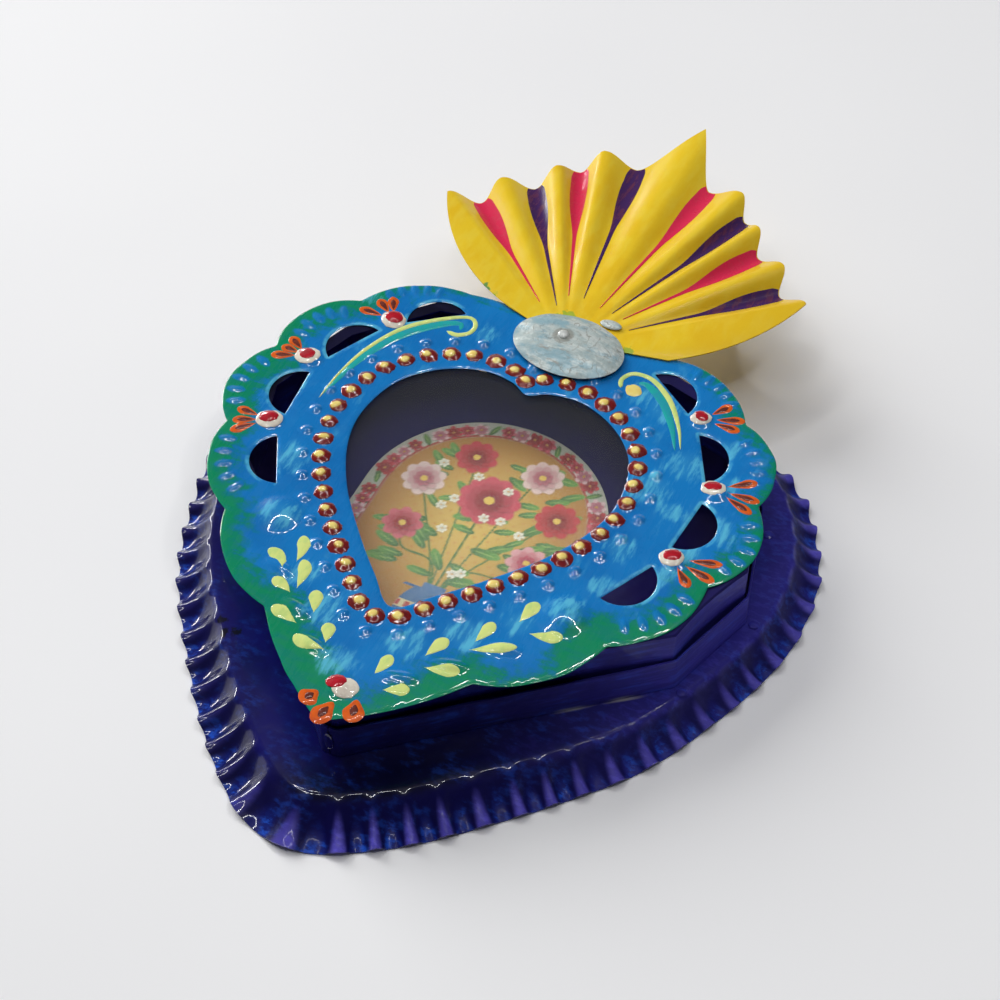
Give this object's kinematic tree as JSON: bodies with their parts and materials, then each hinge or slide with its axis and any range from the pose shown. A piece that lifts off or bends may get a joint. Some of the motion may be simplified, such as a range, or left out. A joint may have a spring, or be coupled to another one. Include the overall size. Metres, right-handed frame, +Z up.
{
  "type": "heart-shaped shrine box",
  "caption": "Heart-shaped painted tin shrine box with a fluted base, a hinged, pierced and embossed lid, a glass heart window over a picture card, and a pleated flame.",
  "frame": {"origin": "middle of the bounding box at its bottom, on the surface that the fluted skirt stands on", "axes": "+Z up out of the lid, +Y from the heart's tip towards the flame, +X to the right with the hinge on the left"},
  "size_m": [0.186, 0.2808, 0.036],
  "materials": {
    "base_enamel": "glossy ultramarine enamel over tinplate, brushed on, with chips",
    "lid_enamel": "glossy mid-blue enamel with a green brushed edge, white-ringed red dots, petals and leaves",
    "flame_enamel": "glossy yellow enamel with pink and purple brush streaks",
    "silver_paint": "brushed-on silver paint",
    "bare_tin": "bare tinplate and wire",
    "solder": "dull grey solder",
    "clear_glass": "clear flat glass",
    "card_print": "colour-printed card"
  },
  "bodies": {
    "box": {"base_tray": "base_enamel", "wall_band_right": "base_enamel", "wall_band_left": "base_enamel", "print_card": "card_print", "hinge_box_leaf": "base_enamel", "hinge_pin": "bare_tin", "tip_solder": "base_enamel", "cleft_solder": "base_enamel", "box_leaf_tack_1": "base_enamel", "box_leaf_tack_2": "base_enamel", "foot_tack_right_1": "base_enamel", "foot_tack_right_2": "base_enamel", "foot_tack_right_3": "base_enamel", "foot_tack_right_4": "base_enamel", "foot_tack_left_1": "base_enamel", "foot_tack_left_2": "base_enamel", "foot_tack_left_3": "base_enamel", "foot_tack_left_4": "base_enamel"},
    "lid": {"lid_plate": "lid_enamel", "lid_rim_right": "base_enamel", "lid_rim_left": "base_enamel", "glass_pane": "clear_glass", "flame": "flame_enamel", "oval_boss": "silver_paint", "flame_solder": "silver_paint", "lid_tip_solder": "solder", "hinge_lid_leaf": "base_enamel", "lid_leaf_tack_1": "base_enamel", "lid_leaf_tack_2": "base_enamel", "glass_clip_1": "bare_tin", "glass_clip_2": "bare_tin", "glass_clip_3": "bare_tin", "glass_clip_4": "bare_tin", "glass_clip_5": "bare_tin", "glass_clip_6": "bare_tin"}
  },
  "joints": [
    {"name": "lid_hinge", "type": "hinge", "parent": "box", "child": "lid", "pos_m": [-0.07308, -0.0021, 0.0214], "axis": [-0.3376, -0.9413, 0], "range_deg": [0, 106]}
  ]
}
